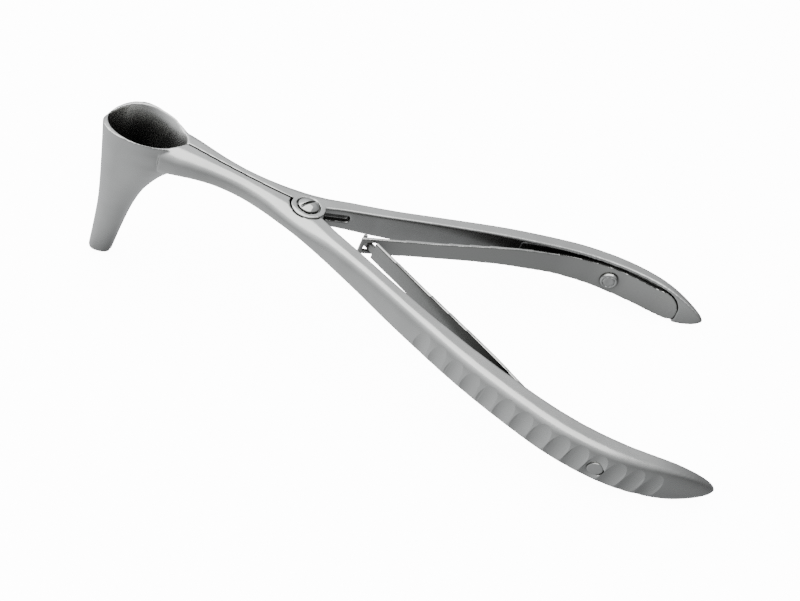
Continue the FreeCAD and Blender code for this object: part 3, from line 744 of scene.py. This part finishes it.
def pocket():
    """Relief in the right arm's inner face behind the boss."""
    x0 = POCKET_START_X
    y0 = along(INNER_LINE, x0)
    slope = math.atan2(along(INNER_LINE, POCKET_REACH) - y0, POCKET_REACH - x0)
    length = (POCKET_REACH - x0) / math.cos(slope)
    radius = POCKET_HEIGHT / 2
    tool = block("pocket", 0, length - radius, -CLEAR, POCKET_DEPTH, POCKET_TOP - 2 * radius, POCKET_TOP)
    end = drum("pocket_end", radius, -CLEAR, POCKET_DEPTH, 48)
    placed(end, Matrix.Translation((length - radius, 0, POCKET_TOP - radius)) @ ACROSS)
    carved(tool, [("UNION", end)])
    return placed(tool, Matrix.Translation((x0, y0, 0)) @ Matrix.Rotation(slope, 4, "Z"))


def screw_seat():
    return drum("seat", SCREW_HEAD_RADIUS + SCREW_RING, -SCREW_HEAD_SEAT, CLEAR)


def boss_recess(lap):
    """Room in the left arm for the right arm's boss."""
    return drum("recess", BOSS_RADIUS + BOSS_LINE, lap - LAP_GAP / 2, CLEAR)


def make_arms(sizes):
    """Both arms, cut from one forging and its mirror image.  What has crisp edges is cut after
    the skin is ground: the shanks' parting, the flutes, and the rings round the joint."""
    lap = -JOINT_DEPTH / 2
    blank = forging("blank", sizes.rim_wall)
    upper = joint_boss(blank, lap + LAP_GAP / 2, CLEAR)
    lower = joint_boss(blank, -2 * CLEAR, lap - LAP_GAP / 2)
    right = carved(twin(blank, "right_arm_forging"), [
        ("DIFFERENCE", drum("recess", BOSS_RADIUS + BOSS_GAP, -3 * CLEAR, lap + LAP_GAP / 2)),
        ("DIFFERENCE", pocket()),
        ("UNION", upper),
        ("DIFFERENCE", drum("hole", SCREW_SHANK_RADIUS + SCREW_FIT, -2 * CLEAR, CLEAR)),
        ("DIFFERENCE", screw_seat()),
    ])
    left = carved(twin(blank, "left_arm_forging", MIRROR), [
        ("DIFFERENCE", boss_recess(lap)),
        ("UNION", lower),
        ("DIFFERENCE", drum("hole", SCREW_SHANK_RADIUS + SCREW_FIT, -3 * CLEAR, CLEAR)),
    ])
    bpy.data.objects.remove(blank)
    for arm, body, side in ((right, "right_arm", 1), (left, "left_arm", -1)):
        ground(arm, sizes.skin, sizes.passes)
        line_end = -BOSS_RADIUS + SEAM_TUCK
        edge = block("seam_line", SEAM_START_X, line_end, -CLEAR, SEAM_SHADOW, -CLEAR, CLEAR)
        tools = [edge] + [flutes(first, sizes.flute_extra) for first in (0, 1)]
        cuts = [("DIFFERENCE", tool if side > 0 else placed(tool, MIRROR)) for tool in tools]
        cuts.append(("DIFFERENCE", screw_seat() if side > 0 else boss_recess(lap)))
        carved(arm, cuts)
        smoothed(arm)
        dress(arm, finish_of("satin_steel"), "satin_steel", body, body)


# ---- springs ----

def leaf_path():
    """Points and headings along the middle of the right leaf, from its tip to its end."""
    slope = leaf_slope()
    seat = leaf_centre(RIVET_X)
    tip = -HOOK_REACH - HOOK_END
    run = math.hypot(LEAF_STRAIGHT_X - CROSSING_X, LEAF_STRAIGHT_Y)
    knots = [
        (LEAF_STRAIGHT_X, LEAF_STRAIGHT_Y), (LEAF_STRAIGHT_X + 5.0, LEAF_STRAIGHT_Y + 2.45),
        (LEAF_STRAIGHT_X + 10.5, seat - 1.25), (RIVET_X - 4.0, seat - 0.33), (RIVET_X, seat),
        (RIVET_X + 4.0, leaf_centre(RIVET_X + 4.0) - 0.02),
        (SEAT_END_X - 6.0, leaf_centre(SEAT_END_X - 6.0) - 0.02),
        (SEAT_END_X - LEAF_END_GAP, leaf_centre(SEAT_END_X - LEAF_END_GAP) - 0.02),
    ]
    before = (LEAF_STRAIGHT_X - 4.0, LEAF_STRAIGHT_Y - 4.0 * math.tan(slope))
    line = [before] + knots
    points = []
    steps = 130
    for i in range(steps):
        d = tip + (run - tip) * i / steps
        points.append(Vector((CROSSING_X + d * math.cos(slope), d * math.sin(slope), 0)))
    end = knots[-1][0]
    for i in range(111):
        x = LEAF_STRAIGHT_X + (end - LEAF_STRAIGHT_X) * i / 110
        points.append(Vector((x, along(line, x), 0)))
    return points


def leaf_edges(x):
    """Top and bottom of the leaf seen from the side."""
    top_line = [
        (10.0, LEAF_TIP_TOP), (30.0, LEAF_TIP_TOP + 0.2), (46.0, LEAF_TIP_TOP + 0.75),
        (58.0, along(TOP_LINE, 58.0) - SEAT_ROOF_DROP - LEAF_EDGE_GAP + 0.1),
        (68.0, along(TOP_LINE, 68.0) - SEAT_ROOF_DROP - LEAF_EDGE_GAP),
        (78.0, along(TOP_LINE, 78.0) - SEAT_ROOF_DROP - LEAF_EDGE_GAP),
        (SEAT_TURN_X, along(TOP_LINE, SEAT_TURN_X) - SEAT_ROOF_DROP - LEAF_EDGE_GAP),
    ]
    bottom_line = [
        (10.0, LEAF_TIP_BOTTOM), (30.0, LEAF_TIP_BOTTOM + 0.25), (46.0, LEAF_TIP_BOTTOM + 0.05),
        (58.0, along(BOTTOM_LINE, 58.0) + LEAF_BOTTOM_INSET + 0.5),
        (68.0, along(BOTTOM_LINE, 68.0) + LEAF_BOTTOM_INSET),
        (78.0, along(BOTTOM_LINE, 78.0) + LEAF_BOTTOM_INSET),
        (SEAT_TURN_X + 2.0, along(BOTTOM_LINE, SEAT_TURN_X + 2.0) + LEAF_BOTTOM_INSET + 0.3),
    ]
    end = SEAT_END_X - LEAF_END_GAP
    top = rounded_end(x, SEAT_TURN_X, end + 0.05, along(top_line, x), LEAF_END_Z)
    if x > SEAT_START_X:
        fade = max(SEAT_TURN_X + 2.5 - x, 0.0) / 4.0
        top -= LEAF_SHADOW * min((x - SEAT_START_X) / 8.0, 1.0, fade)
    bottom = rounded_end(x, SEAT_TURN_X + 2.0, end + 0.05, along(bottom_line, x), LEAF_END_Z)
    return top, bottom


def leaf(name):
    """Right leaf, full height from tip to end."""
    points = leaf_path()
    rings = []
    for i, p in enumerate(points):
        a = points[max(i - 1, 0)]
        b = points[min(i + 1, len(points) - 1)]
        heading = (b - a).normalized()
        side = Vector((-heading.y, heading.x, 0)) * (LEAF_THICKNESS / 2)
        top, bottom = leaf_edges(p.x)
        low = Vector((0, 0, bottom))
        high = Vector((0, 0, top))
        ring = straight(p - side + low, p + side + low, 3)
        ring += straight(p + side + low, p + side + high, 12)
        ring += straight(p + side + high, p - side + high, 3)
        ring += straight(p - side + high, p - side + low, 12)
        rings.append(ring)
    return loft(name, rings)


def leaf_block(name, d0, d1, z0, z1):
    """Block across the straight part of the right leaf."""
    tool = block(name, d0, d1, -CLEAR / 2, CLEAR / 2, min(z0, z1), max(z0, z1))
    return placed(tool, Matrix.Translation((CROSSING_X, 0, 0)) @ Matrix.Rotation(leaf_slope(), 4, "Z"))


def make_springs(sizes):
    """Right leaf with its eye, and left leaf with its tongue and cross head."""
    middle = 0.5 * (LEAF_TIP_TOP + LEAF_TIP_BOTTOM)
    half = TONGUE_WIDTH / 2 + EYE_GAP
    end = HOOK_REACH + HOOK_END + CLEAR
    right = carved(leaf("right_leaf_spring"), [
        ("DIFFERENCE", leaf_block("eye", -HOOK_REACH, HOOK_REACH, middle - half, middle + half)),
    ])
    cuts = []
    for side in (-1, 1):
        far = middle + side * CLEAR
        tongue = middle + side * TONGUE_WIDTH / 2
        horn = middle + side * HOOK_WIDTH / 2
        cuts.append(("DIFFERENCE", leaf_block("notch", -HOOK_REACH, HOOK_REACH, tongue, far)))
        cuts.append(("DIFFERENCE", leaf_block("horn", -end, -HOOK_REACH, horn, far)))
    left = placed(carved(leaf("left_leaf_spring"), cuts), MIRROR)
    stand = stand_matrix()
    for piece, side, body in ((right, 1, "right"), (left, -1, "left")):
        ground(piece, sizes.leaf_skin, sizes.leaf_passes)
        dress(piece, finish_of("spring_steel"), "spring_steel", None, body + "_spring")
        clamp = stand @ Vector((RIVET_X - 3.0, side * leaf_centre(RIVET_X), RIVET_Z))
        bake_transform(piece)


# ---- screw and rivets ----

def arc(centre, radius, start, end, steps):
    """(radius, height) points on an arc, angles in degrees from straight out."""
    points = []
    for i in range(steps + 1):
        a = math.radians(start + (end - start) * i / steps)
        points.append((centre[0] + radius * math.cos(a), centre[1] + radius * math.sin(a)))
    return points


def dome(radius, edge, rise, steps=14):
    """(radius, height) points from the brim up to the pole of a dome."""
    ball = (radius ** 2 + rise ** 2) / (2 * rise)
    wide = math.degrees(math.asin(radius / ball))
    return [(max(r, 0.0), z) for r, z in arc((0, edge + rise - ball), ball, 90 - wide, 90, steps)]


def make_screw(sizes):
    seat = -SCREW_HEAD_SEAT + LAP_GAP / 2
    brim = SCREW_BRIM
    crown = SCREW_HEAD_EDGE + SCREW_DOME
    profile = [(0, -JOINT_DEPTH), (SCREW_SHANK_RADIUS, -JOINT_DEPTH), (SCREW_SHANK_RADIUS, seat),
               (SCREW_HEAD_RADIUS, seat)]
    profile += arc((SCREW_HEAD_RADIUS - brim, SCREW_HEAD_EDGE - brim), brim, 0, 60, 5)
    profile += dome(SCREW_HEAD_RADIUS - brim, SCREW_HEAD_EDGE, SCREW_DOME)
    screw = lathe("slotted_screw", profile)
    slot = block("slot", -CLEAR, CLEAR, -SCREW_SLOT_WIDTH / 2, SCREW_SLOT_WIDTH / 2,
                 crown - SCREW_SLOT_DEPTH, crown + 1)
    placed(slot, Matrix.Rotation(math.radians(SCREW_SLOT_ANGLE), 4, "Z"))
    carved(screw, [("DIFFERENCE", slot)])
    ground(screw, sizes.fastener_skin, 3)
    dress(screw, finish_of("polished_steel"), "polished_steel", "left_arm", "pivot_screw")


def make_rivets(sizes):
    head = leaf_centre(RIVET_X) - LEAF_THICKNESS / 2 - RIVET_HEAD_GAP
    tail = rivet_tail_face()
    seat = tail - RIVET_TAIL_SEAT + RIVET_HOLE_GAP
    crown = head - RIVET_BRIM - RIVET_RISE
    profile = [(r, crown + z) for r, z in RIVET_FACE] + [(RIVET_HEAD_RADIUS, head - RIVET_BRIM)]
    profile += [(RIVET_HEAD_RADIUS, head), (RIVET_SHANK_RADIUS, head), (RIVET_SHANK_RADIUS, seat),
                (RIVET_TAIL_RADIUS, seat), (RIVET_TAIL_RADIUS, tail - 0.08),
                (RIVET_TAIL_RADIUS - 0.1, tail), (0, tail)]
    turn = Matrix.Translation((RIVET_X, 0, RIVET_Z)) @ ACROSS
    right = placed(lathe("right_handle_rivet", profile), turn)
    left = twin(right, "left_handle_rivet", MIRROR)
    for piece, body in ((right, "right"), (left, "left")):
        ground(piece, sizes.fastener_skin, 3)
        dress(piece, finish_of("polished_steel"), "polished_steel", body + "_arm", body + "_rivet")


# ---- stage ----

def area_light(name, place, aim, size, power):
    """Soft rectangular lamp at place, facing aim."""
    data = bpy.data.lights.new(name, "AREA")
    data.shape = "RECTANGLE"
    data.size = size[0]
    data.size_y = size[1]
    data.energy = power
    lamp = bpy.data.objects.new(name, data)
    bpy.context.scene.collection.objects.link(lamp)
    lamp.location = place
    lamp.rotation_mode = "QUATERNION"
    lamp.rotation_quaternion = (Vector(aim) - Vector(place)).to_track_quat("-Z", "Y")
    return lamp


def make_floor(values):
    """Pale table that gives off light of its own and is kept out of the steel's reflections."""
    bm = bmesh.new()
    bmesh.ops.create_grid(bm, x_segments=8, y_segments=8, size=values.floor_half)
    floor = new_piece("floor", bm)
    material = bpy.data.materials.new("floor_paint")
    material.use_nodes = True
    nodes = material.node_tree.nodes
    links = material.node_tree.links
    shader = nodes["Principled BSDF"]
    shader.inputs["Roughness"].default_value = 0.8
    speckle = nodes.new("ShaderNodeTexNoise")
    speckle.inputs["Scale"].default_value = FLOOR_SPECKLE
    ramp = nodes.new("ShaderNodeValToRGB")
    pale = values.floor_tint
    ramp.color_ramp.elements[0].color = (*[c * FLOOR_DRIFT for c in pale], 1)
    ramp.color_ramp.elements[1].color = (*pale, 1)
    links.new(speckle.outputs["Fac"], ramp.inputs["Fac"])
    links.new(ramp.outputs["Color"], shader.inputs["Base Color"])
    shader.inputs["Emission Color"].default_value = (1, 1, 1, 1)
    shader.inputs["Emission Strength"].default_value = values.table_glow
    material.cycles.emission_sampling = "NONE"
    floor.data.materials.append(material)
    floor.visible_glossy = False


def make_camera():
    """Camera at the photograph's place, angle and framing."""
    stand = stand_matrix()
    place = Vector(CAMERA_PLACE)
    look = (Vector(CAMERA_AIM) - place).normalized()
    level = look.cross(Vector((0, 0, 1))).normalized()
    right = Matrix.Rotation(math.radians(-CAMERA_ROLL), 3, look) @ level
    up = right.cross(look)
    turn = stand.to_3x3().normalized()
    axes = Matrix((turn @ right, turn @ up, turn @ -look)).transposed()
    data = bpy.data.cameras.new("photo_camera")
    camera = bpy.data.objects.new("photo_camera", data)
    bpy.context.scene.collection.objects.link(camera)
    camera.matrix_world = Matrix.Translation(stand @ place) @ axes.to_4x4()
    data.sensor_width = SENSOR
    data.lens = CAMERA_FOCAL_PIXELS * SENSOR / IMAGE_WIDTH
    data.shift_x, data.shift_y = CAMERA_SHIFT
    data.clip_start, data.clip_end = CLIP
    bpy.context.scene.camera = camera


def make_world(values):
    """Studio walls, shaded by height and from left to right."""
    world = bpy.data.worlds.new("studio")
    world.use_nodes = True
    nodes = world.node_tree.nodes
    links = world.node_tree.links
    sky = nodes["Background"]
    sky.inputs["Strength"].default_value = values.sky_strength
    where = nodes.new("ShaderNodeTexCoord")
    split = nodes.new("ShaderNodeSeparateXYZ")
    links.new(where.outputs["Generated"], split.inputs["Vector"])
    height = nodes.new("ShaderNodeMapRange")
    height.inputs["From Min"].default_value = -1.0
    links.new(split.outputs["Z"], height.inputs["Value"])
    wall = nodes.new("ShaderNodeValToRGB")
    while len(wall.color_ramp.elements) < len(WALL_LEVELS):
        wall.color_ramp.elements.new(0.5)
    for stop, (place, level) in zip(wall.color_ramp.elements, WALL_LEVELS):
        stop.position = place
        stop.color = (*[level * c for c in values.sky_tint], 1)
    links.new(height.outputs["Result"], wall.inputs["Fac"])
    side = nodes.new("ShaderNodeMapRange")
    side.inputs["From Min"].default_value = -1.0
    side.inputs["To Min"].default_value = SIDE_LEVELS[0]
    side.inputs["To Max"].default_value = SIDE_LEVELS[1]
    links.new(split.outputs["X"], side.inputs["Value"])
    shade = nodes.new("ShaderNodeVectorMath")
    shade.operation = "SCALE"
    links.new(wall.outputs["Color"], shade.inputs[0])
    links.new(side.outputs["Result"], shade.inputs["Scale"])
    links.new(shade.outputs["Vector"], sky.inputs["Color"])
    bpy.context.scene.world = world


# ---- add-on ----

class SPECULUM_PG_sizes(bpy.types.PropertyGroup):
    rim_wall: FloatProperty(
        name="Rim wall", description="Wall of the funnel at its rim, in millimetres",
        default=1.35, min=0.8, max=2.0)
    flute_extra: FloatProperty(
        name="Flute depth", description="How much deeper the grip flutes are cut, in millimetres",
        default=0.0, min=0.0, max=0.5)
    skin: FloatProperty(
        name="Arm skin", description="Grain of the arms' skin, in millimetres",
        default=0.22, min=0.15, max=1.0)
    passes: IntProperty(
        name="Arm polish", description="Passes that soften the arms' edges",
        default=8, min=0, max=20)
    leaf_skin: FloatProperty(
        name="Leaf skin", description="Grain of the springs' skin, in millimetres",
        default=0.18, min=0.1, max=0.4)
    leaf_passes: IntProperty(
        name="Leaf polish", description="Passes that soften the springs' edges",
        default=2, min=0, max=20)
    fastener_skin: FloatProperty(
        name="Fastener skin", description="Grain of the screw's and rivets' skin, in millimetres",
        default=0.1, min=0.05, max=0.3)
    flex_end: FloatProperty(
        name="Flex end",
        description="Where each spring has bent fully, in millimetres from the pivot",
        default=40.0, min=20.0, max=70.0)


class SPECULUM_PG_finish(bpy.types.PropertyGroup):
    steel_tint: FloatVectorProperty(
        name="Steel", description="Colour of the steel", subtype="COLOR", size=3,
        default=(0.52, 0.52, 0.505), min=0, max=1)
    steel_deep: FloatVectorProperty(
        name="Deep steel", description="Darker drift of the steel's colour", subtype="COLOR",
        size=3, default=(0.46, 0.46, 0.445), min=0, max=1)
    spring_tint: FloatVectorProperty(
        name="Spring steel", description="Colour of the leaf springs", subtype="COLOR", size=3,
        default=(0.46, 0.46, 0.44), min=0, max=1)
    satin: FloatProperty(
        name="Satin", description="Roughness of the satin arms", subtype="FACTOR",
        default=0.27, min=0.05, max=1)
    spring: FloatProperty(
        name="Spring finish", description="Roughness of the leaf springs", subtype="FACTOR",
        default=0.24, min=0.05, max=1)
    polish: FloatProperty(
        name="Polish", description="Roughness of the screw and rivets", subtype="FACTOR",
        default=0.12, min=0.05, max=1)
    # Share of the steel's colour left by the painted shade in recesses.
    recess: FloatProperty(
        name="Recesses", description="Share of the steel's colour left deep in recesses",
        subtype="FACTOR", default=0.32, min=0, max=1)


class SPECULUM_PG_stage(bpy.types.PropertyGroup):
    floor_half: FloatProperty(
        name="Floor", description="Half the floor's side", subtype="DISTANCE", unit="LENGTH",
        default=2.5, min=0.5, max=10)
    floor_tint: FloatVectorProperty(
        name="Floor colour", description="Colour of the floor", subtype="COLOR", size=3,
        default=(0.86, 0.86, 0.86), min=0, max=1)
    sky_tint: FloatVectorProperty(
        name="Sky", description="Colour of the studio's walls", subtype="COLOR", size=3,
        default=(0.9, 0.92, 0.95), min=0, max=1)
    sky_strength: FloatProperty(
        name="Sky strength", description="Light from the studio's walls",
        default=1.0, min=0, max=5)
    table_glow: FloatProperty(
        name="Table glow", description="Light that the pale table gives off itself",
        default=12.0, min=0, max=20)
    key_power: FloatProperty(
        name="Key light", description="Power of the overhead softbox", unit="POWER",
        default=15.0, min=0, max=500)
    side_power: FloatProperty(
        name="Side light", description="Power of the side softbox", unit="POWER",
        default=1.5, min=0, max=500)


class SPECULUM_OT_arms(bpy.types.Operator):
    """Build both arms: funnel halves, shanks, lap joint and handles"""

    bl_idname = "speculum.arms"
    bl_label = "Build arms"

    def execute(self, context):
        make_arms(context.scene.speculum_sizes)
        return {"FINISHED"}


class SPECULUM_OT_springs(bpy.types.Operator):
    """Build both leaf springs"""

    bl_idname = "speculum.springs"
    bl_label = "Build springs"

    def execute(self, context):
        make_springs(context.scene.speculum_sizes)
        return {"FINISHED"}


class SPECULUM_OT_screw(bpy.types.Operator):
    """Build the slotted pivot screw"""

    bl_idname = "speculum.screw"
    bl_label = "Build screw"

    def execute(self, context):
        make_screw(context.scene.speculum_sizes)
        return {"FINISHED"}


class SPECULUM_OT_rivets(bpy.types.Operator):
    """Build the rivets that hold the springs"""

    bl_idname = "speculum.rivets"
    bl_label = "Build rivets"

    def execute(self, context):
        make_rivets(context.scene.speculum_sizes)
        return {"FINISHED"}


class SPECULUM_OT_stage(bpy.types.Operator):
    """Set the floor, the soft lights and the camera"""

    bl_idname = "speculum.stage"
    bl_label = "Set stage"

    def execute(self, context):
        values = context.scene.speculum_stage
        make_floor(values)
        make_world(values)
        area_light("key_softbox", *KEY_SOFTBOX, values.key_power)
        area_light("side_softbox", *SIDE_SOFTBOX, values.side_power)
        make_camera()
        return {"FINISHED"}


class SPECULUM_PT_build(bpy.types.Panel):
    """Sizes, finishes and build steps of the speculum"""

    bl_label = "Bivalve speculum"
    bl_idname = "SPECULUM_PT_build"
    bl_space_type = "VIEW_3D"
    bl_region_type = "UI"
    bl_category = "Speculum"

    def draw(self, context):
        scene = context.scene
        for group in (scene.speculum_sizes, scene.speculum_finish, scene.speculum_stage):
            box = self.layout.box()
            for name in group.__annotations__:
                box.prop(group, name)
        for operator in STEPS:
            self.layout.operator(operator.bl_idname)


STEPS = (
    SPECULUM_OT_arms, SPECULUM_OT_springs, SPECULUM_OT_screw, SPECULUM_OT_rivets,
    SPECULUM_OT_stage,
)
GROUPS = {
    "speculum_sizes": SPECULUM_PG_sizes,
    "speculum_finish": SPECULUM_PG_finish,
    "speculum_stage": SPECULUM_PG_stage,
}
CLASSES = (*GROUPS.values(), *STEPS, SPECULUM_PT_build)


def register():
    for cls in CLASSES:
        bpy.utils.register_class(cls)
    for name, group in GROUPS.items():
        setattr(bpy.types.Scene, name, PointerProperty(type=group))


def unregister():
    for name in GROUPS:
        delattr(bpy.types.Scene, name)
    for cls in reversed(CLASSES):
        bpy.utils.unregister_class(cls)


def main():
    register()
    bpy.ops.speculum.arms()
    bpy.ops.speculum.springs()
    bpy.ops.speculum.screw()
    bpy.ops.speculum.rivets()
    bpy.ops.speculum.stage()


if __name__ == "__main__":
    main()
